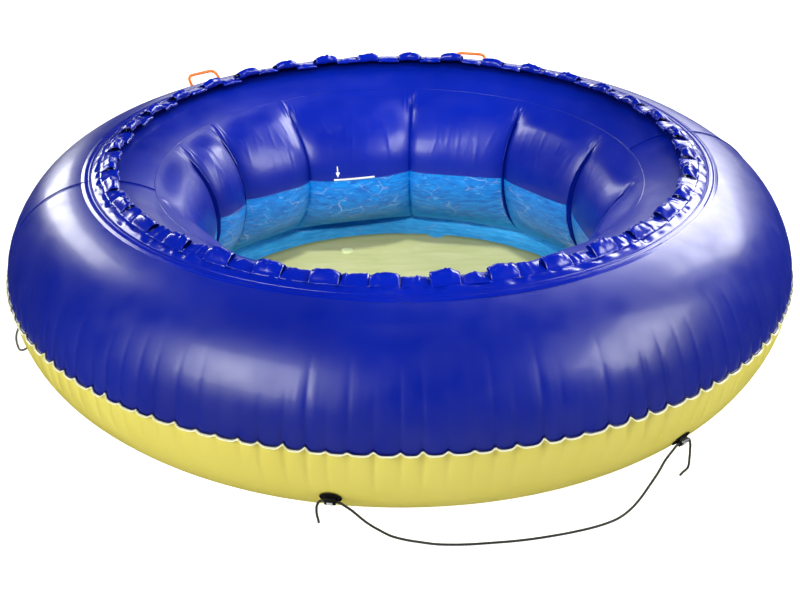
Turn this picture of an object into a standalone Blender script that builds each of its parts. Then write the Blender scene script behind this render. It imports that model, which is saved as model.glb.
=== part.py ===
"""Inflatable ring with a pool inside: air chamber, sleeve flap, handles, grab ropes, valve and drain.

Metres, +Z up. The origin is the centre of the floor's underside. Azimuth 0 is the front, towards -Y,
and it grows towards +X. A section angle goes round the chamber from 0 at the outer seam, over the top at
90 and the inner seam at 180, to the ground at 270.
"""

import math

import bmesh
import bpy
import numpy as np
from mathutils import Matrix, Vector

# Driving dimensions
SKIN = 0.0015
GAP = 0.0003
OUTER_RADIUS = 1.0565
FLANGE_RADIUS = 1.065
INNER_RADIUS = 0.5265
SEAM_HEIGHT = 0.266
TOP_HEIGHT = 0.519
TOP_RADIUS = 0.805
BOTTOM_RADIUS = 0.81
OUTER_FULLNESS = 1.95
INNER_FULLNESS = 2.0
UPPER_SEAM_RADIUS = 0.654
FLOOR_RADIUS = 0.64
FLOOR_RIM_RADIUS = 0.762
AROUND = 48
HALVES = {"front": -78.0, "rear": 102.0}

FLAP_WELD_RADIUS = 0.817
FLAP_NOTCH_RADIUS = 0.764
FLAP_EDGE_RADIUS = 0.742
FLAP_EDGE_HEIGHT = 0.534
TABS = 36
TAB_PHASE = 0.25
TAB_LENGTH = 0.064
SLEEVE_RADIUS = 0.0075

WEB_AZIMUTHS = [-147.5, -122, -106, -73, -41, -9, 22, 53, 84.5, 114.5, 144.5, 176.5]
WEB_SPAN = (118, 238)
WEB_CHORD = 0.72

ROPE_DIAMETER = 0.006
FITTING_AZIMUTHS = {
    "front_left": -8.8,
    "front_right": 40.5,
    "left": -75.0,
    "rear_left": -141.0,
    "right": 104.0,
    "rear_right": 166.0,
}
FITTING_ANGLE = 325.0
FITTING_BASE_RADIUS = 0.0255
FITTING_BASE_THICKNESS = 0.003
BRIDGE_LENGTH = 0.026
BRIDGE_WIDTH = 0.018
BRIDGE_HEIGHT = 0.0160
BORE_RADIUS = 0.0048
BORE_HEIGHT = 0.0092

HANDLE_AZIMUTHS = {"left": -142.7, "right": 166.8}
HANDLE_ANGLE = 39.0
HANDLE_WIDTH = 0.118
HANDLE_HEIGHT = 0.062
HANDLE_BAR = 0.0095
HANDLE_CORNER = 0.020
HANDLE_LIFT = 0.0105
HANDLE_PATCH = (0.17, 0.08)
TUNNEL_LENGTH = 0.07
TUNNEL_WALL = 0.002

VALVE_AZIMUTH = 180.0
VALVE_ANGLE = 30.0
VALVE_FLANGE_RADIUS = 0.041
VALVE_BODY_RADIUS = 0.0175
VALVE_BORE_RADIUS = 0.0145
VALVE_LID_RADIUS = 0.0205
VALVE_HINGE = 0.0225

DRAIN_PLACE = (-0.17, 0.48)
DRAIN_SEAT_RADIUS = 0.022
DRAIN_BORE_RADIUS = 0.0105

BLUE = (0.005, 0.02, 0.36, 1)
YELLOW = (0.78, 0.72, 0.16, 1)
WATER = (0.02, 0.28, 0.60, 1)
SAND = (0.75, 0.80, 0.28, 1)
ORANGE = (0.95, 0.25, 0.02, 1)
BLACK = (0.012, 0.012, 0.014, 1)
WHITE = (0.8, 0.8, 0.78, 1)


def clear_scene():
    for thing in list(bpy.data.objects):
        bpy.data.objects.remove(thing)


def material(name, colour, roughness, metallic=0.0):
    made = bpy.data.materials.new(name)
    made.use_nodes = True
    shader = made.node_tree.nodes["Principled BSDF"]
    shader.inputs["Base Color"].default_value = colour
    shader.inputs["Roughness"].default_value = roughness
    shader.inputs["Metallic"].default_value = metallic
    made.diffuse_color = colour
    return made


def add_object(name, bm, surface, place=None):
    """Turns a bmesh into a named object, faces out, round faces smooth."""
    bmesh.ops.recalc_face_normals(bm, faces=bm.faces)
    mesh = bpy.data.meshes.new(name)
    bm.to_mesh(mesh)
    bm.free()
    mesh.shade_smooth()
    mesh.set_sharp_from_angle(angle=math.radians(35))
    made = bpy.data.objects.new(name, mesh)
    made.data.materials.append(surface)
    if place is not None:
        made.matrix_world = place
    bpy.context.scene.collection.objects.link(made)
    return made


# The chamber's section


def section_point(angle, inset=0.0):
    """(radius, height) of the chamber's skin at a section angle in degrees, moved in by inset."""
    cosine, sine = math.cos(math.radians(angle)), math.sin(math.radians(angle))
    apex = TOP_RADIUS if sine >= 0 else BOTTOM_RADIUS
    outer = cosine >= 0
    half_width = (OUTER_RADIUS - apex if outer else apex - INNER_RADIUS) - inset
    half_height = (TOP_HEIGHT - SEAM_HEIGHT if sine >= 0 else SEAM_HEIGHT) - inset
    power = 2 / (OUTER_FULLNESS if outer and sine >= 0 else INNER_FULLNESS)
    radius = apex + math.copysign(half_width * abs(cosine) ** power, cosine)
    return radius, SEAM_HEIGHT + math.copysign(half_height * abs(sine) ** power, sine)


def angle_at_radius(radius, low, high):
    """The section angle between low and high where the skin has that radius."""
    for _ in range(50):
        middle = (low + high) / 2
        if (section_point(middle)[0] - radius) * (section_point(low)[0] - radius) > 0:
            low = middle
        else:
            high = middle
    return (low + high) / 2


def around(azimuth, radius, height):
    turn = math.radians(azimuth)
    return Vector((radius * math.sin(turn), -radius * math.cos(turn), height))


def frame_on_skin(azimuth, angle, lift=0.0):
    """A matrix on the skin: X along the ring, Y up the section, Z out of the skin."""
    here = around(azimuth, *section_point(angle))
    ahead = around(azimuth, *section_point(angle + 0.5))
    behind = around(azimuth, *section_point(angle - 0.5))
    along = around(azimuth + 90, 1, 0)
    up = (ahead - behind).normalized()
    out = along.cross(up).normalized()
    return Matrix.Translation(here + out * lift) @ Matrix((along, up, out)).transposed().to_4x4()


def ring(name, outline, surface):
    """A closed ring: a closed outline of (radius, height) points turned once round the Z axis."""
    bm = bmesh.new()
    corners = [bm.verts.new(around(HALVES["front"], radius, height)) for radius, height in outline]
    edges = [bm.edges.new(pair) for pair in zip(corners, corners[1:] + corners[:1])]
    bmesh.ops.spin(
        bm, geom=corners + edges, cent=(0, 0, 0), axis=(0, 0, 1), angle=math.tau, steps=AROUND,
        use_merge=True, use_duplicate=False,
    )
    bmesh.ops.remove_doubles(bm, verts=bm.verts, dist=1e-6)
    return add_object(name, bm, surface)


def half_rings(name, outline, surface):
    """Two half rings whose ends meet at the sheets' joint lines. Returns the rear one."""
    steps = AROUND // 2
    step_angle = 180 / steps
    for half, start in HALVES.items():
        bm = bmesh.new()
        lines = []
        for step in range(steps + 1):
            trim = {0: math.degrees(GAP), steps: -math.degrees(GAP)}.get(step, 0)
            azimuth = start + step * step_angle + trim
            lines.append([bm.verts.new(around(azimuth, radius, height)) for radius, height in outline])
        for line, following in zip(lines, lines[1:]):
            for i in range(len(outline)):
                j = (i + 1) % len(outline)
                bm.faces.new((line[i], line[j], following[j], following[i]))
        layer = len(outline) // 2
        for line in (lines[0], lines[-1]):
            for i in range(layer - 1):
                bm.faces.new((line[i], line[i + 1], line[-2 - i], line[-1 - i]))
        made = add_object(f"{name}_{half}", bm, surface)
    return made


def skin_outline(start, end, count, outset=0.0, thickness=SKIN):
    """The outline of a skin of even thickness that follows the section between two angles."""
    angles = np.linspace(start, end, count + 1)
    outside = [section_point(angle, -outset) for angle in angles]
    inside = [section_point(angle, thickness - outset) for angle in angles]
    return outside + inside[::-1]


def box_outline(low_radius, high_radius, low, high):
    return [(low_radius, low), (high_radius, low), (high_radius, high), (low_radius, high)]


def chamber(blue, yellow, water):
    """The air chamber's skins, its flange and the bands that join them. Returns the rear upper skin."""
    upper_seam = angle_at_radius(UPPER_SEAM_RADIUS, 95, 175)
    seam_step = 0.45
    skin_gap = 0.08
    lower_seam = 248.1
    rear_skin = half_rings("upper_skin", skin_outline(seam_step, upper_seam - skin_gap, 11), blue)
    half_rings("inner_wall_skin", skin_outline(upper_seam + skin_gap, 180 - skin_gap, 5), blue)
    half_rings("printed_wall_skin", skin_outline(180 + skin_gap, lower_seam - skin_gap, 6), water)
    half_rings("lower_skin", skin_outline(lower_seam + skin_gap, 360 - seam_step, 8), yellow)
    inside = OUTER_RADIUS - 0.009
    lip = 0.0012
    ring("flange_upper_lip", box_outline(inside, FLANGE_RADIUS, SEAM_HEIGHT + GAP / 2,
                                         SEAM_HEIGHT + lip), blue)
    ring("flange_lower_lip", box_outline(inside, FLANGE_RADIUS, SEAM_HEIGHT - lip,
                                         SEAM_HEIGHT - GAP / 2), yellow)
    band = 2.6
    ring("inner_seam_band", skin_outline(180 - band, 180 + band, 2, outset=0.0016, thickness=0.001), blue)
    tape = 3.0
    ring("upper_seam_tape", skin_outline(upper_seam - tape, upper_seam + tape, 2, outset=-0.0036,
                                         thickness=0.001), blue)
    return rear_skin


def floor_sheets(water, sand):
    """The printed rim under the chamber and the plain middle of the floor."""
    ring("floor_rim", box_outline(FLOOR_RADIUS + GAP, FLOOR_RIM_RADIUS, 0, SKIN), water)
    bm = bmesh.new()
    bmesh.ops.create_cone(bm, cap_ends=True, segments=AROUND, radius1=FLOOR_RADIUS, radius2=FLOOR_RADIUS,
                          depth=SKIN, matrix=Matrix.Translation((0, 0, SKIN / 2))
                          @ Matrix.Rotation(math.radians(HALVES["front"]), 4, "Z"))
    return add_object("floor_disc", bm, sand)


def webs(blue):
    """Thin half-moon walls inside the chamber, which hold the inner wall in at its creases."""
    for number, azimuth in enumerate(WEB_AZIMUTHS, 1):
        rim = [section_point(angle, 0.006) for angle in np.linspace(*WEB_SPAN, 11)]
        outline = [(WEB_CHORD, rim[0][1])] + rim + [(WEB_CHORD, rim[-1][1])]
        bm = bmesh.new()
        half = around(azimuth + 90, SKIN / 2, 0)
        sides = [
            [bm.verts.new(around(azimuth, radius, height) + side * half) for radius, height in outline]
            for side in (-1, 1)
        ]
        bm.faces.new(sides[0])
        bm.faces.new(sides[1][::-1])
        for i in range(len(outline)):
            j = (i + 1) % len(outline)
            bm.faces.new((sides[0][i], sides[0][j], sides[1][j], sides[1][i]))
        add_object(f"web_{number:02d}", bm, blue)


def cut(target, cutter):
    cutter.hide_render = True
    cutter.display_type = "WIRE"
    change = target.modifiers.new("cut_" + cutter.name, "BOOLEAN")
    change.operation = "DIFFERENCE"
    change.object = cutter


def tube_bmesh(outer, bore, low, high, segments):
    """A straight tube along Z."""
    bm = bmesh.new()
    outline = [(outer, low), (outer, high), (bore, high), (bore, low)]
    corners = [bm.verts.new((radius, 0, height)) for radius, height in outline]
    edges = [bm.edges.new(pair) for pair in zip(corners, corners[1:] + corners[:1])]
    bmesh.ops.spin(bm, geom=corners + edges, cent=(0, 0, 0), axis=(0, 0, 1), angle=math.tau,
                   steps=segments, use_merge=True, use_duplicate=False)
    bmesh.ops.remove_doubles(bm, verts=bm.verts, dist=1e-6)
    return bm


def disc_bmesh(radius, low, high, segments):
    bm = bmesh.new()
    bmesh.ops.create_cone(bm, cap_ends=True, segments=segments, radius1=radius, radius2=radius,
                          depth=high - low, matrix=Matrix.Translation((0, 0, (low + high) / 2)))
    return bm


# The sleeve flap


def flap(blue):
    """The welded strip, and the flap that rises from it and ends in tabs with rolled sleeves."""
    top = section_point(angle_at_radius(FLAP_WELD_RADIUS, 80, 95))[1]
    strip = (FLAP_WELD_RADIUS + 0.002, FLAP_WELD_RADIUS + 0.024)
    strip_top = section_point(angle_at_radius(strip[1], 60, 95))[1]
    ring("flap_weld_strip", [
        (strip[0], top + GAP), (strip[1], strip_top + 0.0007),
        (strip[1], strip_top + 0.0018), (strip[0], top + 0.0018),
    ], blue)
    lift = 0.0012
    rise = (FLAP_EDGE_HEIGHT - top) / (FLAP_WELD_RADIUS - FLAP_EDGE_RADIUS)
    notch_height = top + lift + rise * (FLAP_WELD_RADIUS - FLAP_NOTCH_RADIUS)
    band = ring("sleeve_flap", [
        (FLAP_WELD_RADIUS, top + lift), (FLAP_WELD_RADIUS, top + lift + SKIN),
        (FLAP_NOTCH_RADIUS, notch_height + SKIN), (FLAP_NOTCH_RADIUS, notch_height),
    ], blue)
    shapes = tab_shapes(blue, notch_height)
    shapes.hide_render = True
    shapes.display_type = "WIRE"
    join = band.modifiers.new("tabs", "BOOLEAN")
    join.operation = "UNION"
    join.object = shapes


def tab_outline():
    """One tab's section, (inward, up) from the notch: a flat plate that curls up and back into a sleeve."""
    reach = FLAP_NOTCH_RADIUS - FLAP_EDGE_RADIUS - SLEEVE_RADIUS
    curl = [math.radians(turn) for turn in np.linspace(-90, 214, 8)]
    bore = SLEEVE_RADIUS - SKIN
    outside = [(reach + SLEEVE_RADIUS * math.cos(t), SLEEVE_RADIUS * (1 + math.sin(t))) for t in curl]
    inside = [(reach + bore * math.cos(t), SLEEVE_RADIUS + bore * math.sin(t)) for t in curl]
    overlap = 0.002
    return [(-overlap, 0), *outside, *inside[::-1], (-overlap, SKIN)]


def tab_shapes(blue, height):
    """The tabs, evenly spaced round the flap, each one its section pushed out along the ring."""
    outline = tab_outline()
    bm = bmesh.new()
    for tab in range(TABS):
        azimuth = (tab + TAB_PHASE) * 360 / TABS
        half = around(azimuth + 90, TAB_LENGTH / 2, 0)
        ends = [
            [bm.verts.new(around(azimuth, FLAP_NOTCH_RADIUS - inward, height + up) + side * half)
             for inward, up in outline]
            for side in (-1, 1)
        ]
        bm.faces.new(ends[0])
        bm.faces.new(ends[1][::-1])
        for i in range(len(outline)):
            j = (i + 1) % len(outline)
            bm.faces.new((ends[0][i], ends[0][j], ends[1][j], ends[1][i]))
    return add_object("tab_shapes", bm, blue)


# Rope fittings and ropes


def rope_fittings(black):
    """A round base welded to the lower skin, with a bridge that the rope runs through."""
    bridge_low = FITTING_BASE_THICKNESS - 0.0005
    for name, azimuth in FITTING_AZIMUTHS.items():
        place = frame_on_skin(azimuth, FITTING_ANGLE, GAP)
        bm = disc_bmesh(FITTING_BASE_RADIUS, 0, FITTING_BASE_THICKNESS, 20)
        fitting = add_object(f"rope_fitting_{name}", bm, black, place)
        bridge = bmesh.new()
        height = BRIDGE_HEIGHT - bridge_low
        bmesh.ops.create_cube(bridge, size=1, matrix=Matrix.Translation((0, 0, bridge_low + height / 2))
                              @ Matrix.Diagonal((BRIDGE_LENGTH, BRIDGE_WIDTH, height, 1)))
        helper = add_object(f"bridge_shape_{name}", bridge, black, place)
        helper.hide_render = True
        helper.display_type = "WIRE"
        join = fitting.modifiers.new("bridge", "BOOLEAN")
        join.operation = "UNION"
        join.object = helper
        along = Matrix.Rotation(math.pi / 2, 4, "Y")
        bore = disc_bmesh(BORE_RADIUS, -BRIDGE_LENGTH, BRIDGE_LENGTH, 12)
        cutter = add_object(f"bore_shape_{name}", bore, black,
                            place @ Matrix.Translation((0, 0, BORE_HEIGHT)) @ along)
        cut(fitting, cutter)


def bore_mouth(name, side, reach=BRIDGE_LENGTH / 2):
    """The middle of a fitting's bore at one mouth: side 1 is towards a growing azimuth."""
    place = frame_on_skin(FITTING_AZIMUTHS[name], FITTING_ANGLE, GAP)
    return place @ Vector((side * reach, 0, BORE_HEIGHT))


ROPE_SPACING = 0.0165
ROPE_ROUTES = {
    "rope_front": ("front_left", 1, [
        (-0.110, -1.013, 0.088), (-0.089, -1.010, 0.064), (-0.069, -1.008, 0.044), (-0.047, -1.005, 0.026),
        (-0.023, -1.005, 0.011), (0.008, -1.009, 0.0035), (0.044, -1.018, 0.003), (0.084, -1.026, 0.003),
        (0.140, -1.027, 0.003), (0.196, -1.022, 0.003), (0.254, -1.015, 0.003), (0.311, -1.004, 0.003),
        (0.382, -0.985, 0.003), (0.445, -0.962, 0.003), (0.492, -0.937, 0.004), (0.524, -0.911, 0.009),
        (0.550, -0.887, 0.022), (0.575, -0.864, 0.045), (0.598, -0.842, 0.068), (0.616, -0.821, 0.087),
    ], ("front_right", -1)),
    "rope_rear": ("left", -1, [
        (-0.989, -0.232, 0.088), (-1.001, -0.220, 0.066), (-1.016, -0.204, 0.044), (-1.034, -0.182, 0.025),
        (-1.053, -0.151, 0.010), (-1.070, -0.109, 0.003), (-1.081, -0.074, 0.003), (-1.087, -0.035, 0.003),
        (-1.086, 0.020, 0.003), (-1.077, 0.085, 0.003), (-1.062, 0.155, 0.003), (-1.040, 0.230, 0.003),
        (-1.008, 0.310, 0.003), (-0.965, 0.395, 0.003), (-0.915, 0.475, 0.003), (-0.862, 0.550, 0.003),
        (-0.812, 0.615, 0.004), (-0.773, 0.662, 0.012), (-0.741, 0.699, 0.030), (-0.712, 0.729, 0.055),
        (-0.686, 0.753, 0.082),
    ], ("rear_left", 1)),
    "tail_front_left": ("front_left", -1, [
        (-0.178, -1.004, 0.1065), (-0.184, -1.003, 0.099), (-0.187, -1.001, 0.084), (-0.187, -0.998, 0.066),
        (-0.185, -0.992, 0.048), (-0.184, -0.986, 0.034),
    ], None),
    "tail_front_right": ("front_right", 1, [
        (0.679, -0.761, 0.1065), (0.683, -0.7595, 0.098), (0.685, -0.759, 0.084), (0.686, -0.757, 0.068),
        (0.688, -0.752, 0.050), (0.689, -0.746, 0.032), (0.691, -0.741, 0.018), (0.688, -0.740, 0.0075),
        (0.682, -0.743, 0.0035), (0.675, -0.751, 0.003), (0.667, -0.762, 0.003),
    ], None),
    "tail_left": ("left", 1, [
        (-0.9795, -0.2855, 0.1065), (-0.977, -0.291, 0.098), (-0.974, -0.293, 0.083),
        (-0.970, -0.293, 0.066), (-0.967, -0.292, 0.050), (-0.964, -0.290, 0.034),
    ], None),
    "tail_rear_left": ("rear_left", -1, [
        (-0.6245, 0.8062, 0.1065), (-0.620, 0.808, 0.098), (-0.6175, 0.807, 0.083), (-0.615, 0.803, 0.066),
        (-0.613, 0.799, 0.050), (-0.612, 0.795, 0.034),
    ], None),
}


def smooth_route(points, spacing):
    """Points an even distance apart on a smooth curve through the route's own points."""
    ends = [points[0] * 2 - points[1], *points, points[-1] * 2 - points[-2]]
    fine = []
    for before, here, there, after in zip(ends, ends[1:], ends[2:], ends[3:]):
        for step in range(12):
            t = step / 12
            fine.append(0.5 * (2 * here + (there - before) * t
                               + (2 * before - 5 * here + 4 * there - after) * t**2
                               + (3 * here - before - 3 * there + after) * t**3))
    fine.append(points[-1])
    walked = [0.0]
    for a, b in zip(fine, fine[1:]):
        walked.append(walked[-1] + (b - a).length)
    count = max(4, round(walked[-1] / spacing))
    wanted = [walked[-1] * step / count for step in range(count + 1)]
    columns = [np.interp(wanted, walked, [point[axis] for point in fine]) for axis in range(3)]
    return [Vector(point) for point in zip(*columns)]


def ropes(black):
    """Each rope and loose tail is a plain round tube along its route, with its ends in the bridges' bores."""
    inner = BRIDGE_LENGTH / 2 - 0.007
    outer = BRIDGE_LENGTH / 2 + 0.004
    for name, (start, side, middle, end) in ROPE_ROUTES.items():
        points = [bore_mouth(start, side, inner), bore_mouth(start, side, outer), *map(Vector, middle)]
        if end:
            points += [bore_mouth(*end, outer), bore_mouth(*end, inner)]
        route = smooth_route(points, ROPE_SPACING)
        line = bpy.data.curves.new(name, "CURVE")
        line.dimensions = "3D"
        line.bevel_depth = ROPE_DIAMETER / 2
        line.bevel_resolution = 2
        line.use_fill_caps = True
        spline = line.splines.new("POLY")
        spline.points.add(len(route) - 1)
        for point, place in zip(spline.points, route):
            point.co = (*place, 1)
        line.materials.append(black)
        made = bpy.data.objects.new(name, line)
        bpy.context.scene.collection.objects.link(made)


# Handles


def handle_outline():
    """The handle's centreline: a closed D with round corners, its straight bar along X at the origin."""
    half = HANDLE_WIDTH / 2 - HANDLE_BAR / 2
    lean = 0.006
    corners = [(-half, 0), (half, 0), (half - lean, HANDLE_HEIGHT), (-half + lean, HANDLE_HEIGHT)]
    radii = [0.008, 0.008, HANDLE_CORNER, HANDLE_CORNER]
    points = []
    for i, (corner, radius) in enumerate(zip(corners, radii)):
        here = Vector((corner[0], corner[1], 0))
        before = (Vector((*corners[i - 1], 0)) - here).normalized()
        after = (Vector((*corners[(i + 1) % 4], 0)) - here).normalized()
        for step in range(6):
            t = step / 5
            points.append(here + radius * (before * (1 - t) ** 2 + after * t**2))
    return points


def handle_loop(name, place, orange):
    """The D loop: a round bar swept once round the closed centreline."""
    centre = handle_outline()
    count = len(centre)
    sides = 8
    bm = bmesh.new()
    rings = []
    for i, point in enumerate(centre):
        ahead = (centre[(i + 1) % count] - centre[i - 1]).normalized()
        across = ahead.cross(Vector((0, 0, 1)))
        rings.append([
            bm.verts.new(point + HANDLE_BAR / 2 * (across * math.cos(math.tau * k / sides)
                                                   + Vector((0, 0, 1)) * math.sin(math.tau * k / sides)))
            for k in range(sides)
        ])
    for i in range(count):
        for k in range(sides):
            a, b = rings[i], rings[(i + 1) % count]
            bm.faces.new((a[k], a[(k + 1) % sides], b[(k + 1) % sides], b[k]))
    upright = Matrix((Vector((1, 0, 0)), Vector((0, 0, 1)), Vector((0, -1, 0)))).transposed().to_4x4()
    return add_object(name, bm, orange, place @ upright)


def tunnel(name, place, blue):
    """The strap over the straight bar: an arch with two flat feet, welded to the patch."""
    clear = HANDLE_BAR / 2 + 0.0012
    outer = clear + TUNNEL_WALL
    foot = outer + 0.012
    floor = -HANDLE_LIFT + 0.0031
    top = floor + TUNNEL_WALL
    arch = [math.pi * step / 8 for step in range(9)]
    outside = [(outer * math.cos(turn), outer * math.sin(turn)) for turn in arch]
    inside = [(clear * math.cos(turn), clear * math.sin(turn)) for turn in arch]
    outside = [(foot, top), (outer, top), *outside, (-outer, top), (-foot, top)]
    inside = [(foot, floor), (clear, floor), *inside, (-clear, floor), (-foot, floor)]
    bm = bmesh.new()
    ends = [
        [[bm.verts.new((side * TUNNEL_LENGTH / 2, y, z)) for y, z in line] for line in (outside, inside)]
        for side in (-1, 1)
    ]
    for i in range(len(outside) - 1):
        for over, under in ends:
            bm.faces.new((over[i], over[i + 1], under[i + 1], under[i]))
        for near, far in zip(*ends):
            bm.faces.new((near[i], near[i + 1], far[i + 1], far[i]))
    for i in (0, -1):
        bm.faces.new((ends[0][0][i], ends[1][0][i], ends[1][1][i], ends[0][1][i]))
    add_object(name, bm, blue, place)


def patch(name, azimuth, angle, size, blue):
    """A thin plate that follows the chamber's skin."""
    columns, rows = 8, 4
    thickness, lift = 0.0022, GAP
    bm = bmesh.new()
    radius = section_point(angle)[0]
    sheets = []
    for layer in (lift, lift + thickness):
        sheet = []
        for row in range(rows + 1):
            tilt = math.degrees((row / rows - 0.5) * size[1] / 0.25)
            line = []
            for column in range(columns + 1):
                turn = math.degrees((column / columns - 0.5) * size[0] / radius)
                corner = around(azimuth + turn, *section_point(angle + tilt, -layer))
                line.append(bm.verts.new(corner))
            sheet.append(line)
        sheets.append(sheet)
    for sheet in sheets:
        for row in range(rows):
            for column in range(columns):
                bm.faces.new((sheet[row][column], sheet[row][column + 1],
                              sheet[row + 1][column + 1], sheet[row + 1][column]))
    for row in range(rows):
        for column in (0, columns):
            bm.faces.new((sheets[0][row][column], sheets[0][row + 1][column],
                          sheets[1][row + 1][column], sheets[1][row][column]))
    for column in range(columns):
        for row in (0, rows):
            bm.faces.new((sheets[0][row][column], sheets[0][row][column + 1],
                          sheets[1][row][column + 1], sheets[1][row][column]))
    add_object(name, bm, blue)


def handles(blue, orange):
    for side, azimuth in HANDLE_AZIMUTHS.items():
        place = frame_on_skin(azimuth, HANDLE_ANGLE, HANDLE_LIFT)
        patch(f"handle_patch_{side}", azimuth, HANDLE_ANGLE, HANDLE_PATCH, blue)
        tunnel(f"handle_tunnel_{side}", place, blue)
        handle_loop(f"handle_loop_{side}", place, orange)


# Inflation valve and drain


def inflation_valve(skin, white, black):
    """Flange, threaded body and bore, rubber flap, screw insert and hinged lid, along the skin's normal."""
    place = frame_on_skin(VALVE_AZIMUTH, VALVE_ANGLE, 0.0022)
    cutter = disc_bmesh(VALVE_BODY_RADIUS + 0.001, -0.02, 0.02, 24)
    hole = add_object("valve_hole_shape", cutter, white, place)
    cut(skin, hole)
    add_object("valve_flange", tube_bmesh(VALVE_FLANGE_RADIUS, VALVE_BODY_RADIUS + GAP, 0, 0.002, 24),
               white, place)
    add_object("valve_body", tube_bmesh(VALVE_BODY_RADIUS, VALVE_BORE_RADIUS, -0.022, 0.006, 24),
               white, place)
    insert_radius = VALVE_BORE_RADIUS - GAP
    add_object("valve_insert", tube_bmesh(insert_radius, 0.0095, -0.017, 0.005, 24), white, place)
    add_object("valve_flap", disc_bmesh(0.0118, -0.0187, -0.0175, 20), black, place)
    add_object("valve_lid", valve_lid_shape(), white, place @ Matrix.Translation((0, VALVE_HINGE, 0.0078)))
    block = bmesh.new()
    bmesh.ops.create_cube(block, size=1, matrix=Matrix.Translation((0, VALVE_HINGE + 0.004, 0.0042))
                          @ Matrix.Diagonal((0.012, 0.005, 0.0035, 1)))
    add_object("valve_hinge_block", block, white, place)


def valve_lid_shape():
    """The lid with its origin on the hinge line at its upper edge."""
    lid = disc_bmesh(VALVE_LID_RADIUS, 0, 0.003, 24)
    bmesh.ops.translate(lid, verts=lid.verts, vec=(0, -VALVE_HINGE, 0))
    return lid


def drain(disc, white):
    """A seat round a hole in the floor, and the plug that lifts out of it."""
    place = Matrix.Translation((*DRAIN_PLACE, 0))
    cutter = disc_bmesh(DRAIN_SEAT_RADIUS - 0.008, -0.01, 0.01, 24)
    hole = add_object("drain_hole_shape", cutter, white, place)
    cut(disc, hole)
    add_object("drain_seat", tube_bmesh(DRAIN_SEAT_RADIUS, DRAIN_BORE_RADIUS, SKIN + GAP, 0.0042, 24),
               white, place)
    plug = bmesh.new()
    outline = [(0, 0.0020), (0.0098, 0.0020), (0.0101, 0.0045), (0.014, 0.0047), (0.014, 0.0072), (0, 0.0072)]
    corners = [plug.verts.new((radius, 0, height)) for radius, height in outline]
    edges = [plug.edges.new(pair) for pair in zip(corners, corners[1:])]
    bmesh.ops.spin(plug, geom=corners + edges, cent=(0, 0, 0), axis=(0, 0, 1), angle=math.tau, steps=20,
                   use_merge=True, use_duplicate=False)
    bmesh.ops.remove_doubles(plug, verts=plug.verts, dist=1e-6)
    add_object("drain_plug", plug, white, place)


def build():
    clear_scene()
    blue = material("blue_pvc", BLUE, 0.28)
    yellow = material("yellow_pvc", YELLOW, 0.32)
    water = material("printed_pvc", WATER, 0.30)
    sand = material("floor_pvc", SAND, 0.40)
    orange = material("orange_handle", ORANGE, 0.35)
    black = material("black_plastic", BLACK, 0.35)
    rope = material("black_rope", BLACK, 0.75)
    white = material("white_valve", WHITE, 0.40)
    skin = chamber(blue, yellow, water)
    disc = floor_sheets(water, sand)
    webs(blue)
    flap(blue)
    rope_fittings(black)
    ropes(rope)
    handles(blue, orange)
    inflation_valve(skin, white, black)
    drain(disc, white)


build()
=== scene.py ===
"""The looks of the inflatable ring: skins with puckers and creases, flap, print, handles, ropes and fittings.

Metres, +Z up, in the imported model's frame. Azimuth 0 is the front, towards -Y, and grows towards +X. A
section angle goes round the air chamber from 0 at the outer seam, over the top at 90 and the pool's side at
180, to the ground at 270.
"""

import math

import bmesh
import bpy
import numpy as np
from mathutils import Matrix, Vector


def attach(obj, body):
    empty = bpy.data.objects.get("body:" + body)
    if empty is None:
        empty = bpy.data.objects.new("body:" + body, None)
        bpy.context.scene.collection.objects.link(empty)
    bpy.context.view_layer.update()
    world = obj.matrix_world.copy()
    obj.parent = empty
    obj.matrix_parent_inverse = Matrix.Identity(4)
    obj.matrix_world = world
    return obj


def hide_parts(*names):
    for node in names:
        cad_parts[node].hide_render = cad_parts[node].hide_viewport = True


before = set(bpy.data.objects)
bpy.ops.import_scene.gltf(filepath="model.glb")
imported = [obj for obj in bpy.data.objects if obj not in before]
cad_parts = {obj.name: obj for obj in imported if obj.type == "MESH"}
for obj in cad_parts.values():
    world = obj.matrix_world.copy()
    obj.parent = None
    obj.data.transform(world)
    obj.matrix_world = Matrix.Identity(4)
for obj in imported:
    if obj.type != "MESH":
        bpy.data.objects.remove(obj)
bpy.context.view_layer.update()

# The chamber's section, the same numbers as the CAD's
OUTER_RADIUS = 1.0565
INNER_RADIUS = 0.5265
SEAM_HEIGHT = 0.266
TOP_HEIGHT = 0.519
TOP_RADIUS = 0.805
BOTTOM_RADIUS = 0.81
OUTER_FULLNESS = 1.95
INNER_FULLNESS = 2.0
UPPER_SEAM_ANGLE = 122.8
LOWER_SEAM_ANGLE = 248.1
JOINTS = (-78.0, 102.0)
CREASES = (-147.5, -122, -106, -73, -41, -9, 22, 53, 84.5, 114.5, 144.5, 176.5)

# Puckers along the outer seam
PUCKERS = 124
PUCKER_SEED = 11

# Floor
DISC_RADIUS = 0.644
DISC_CENTRE = (0.009, -0.033)
RIM_REACH = 0.585
FLOOR_TOP = 0.003

# Sleeve flap
FLAP_WELD_RADIUS = 0.8165
SLEEVE_RADIUS = 0.789
SLEEVE_HEIGHT = 0.5335
TABS = 36
LOW_SLEEVE = (0.045, 0.0046)
TALL_SLEEVE = (0.039, 0.0122)

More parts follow.
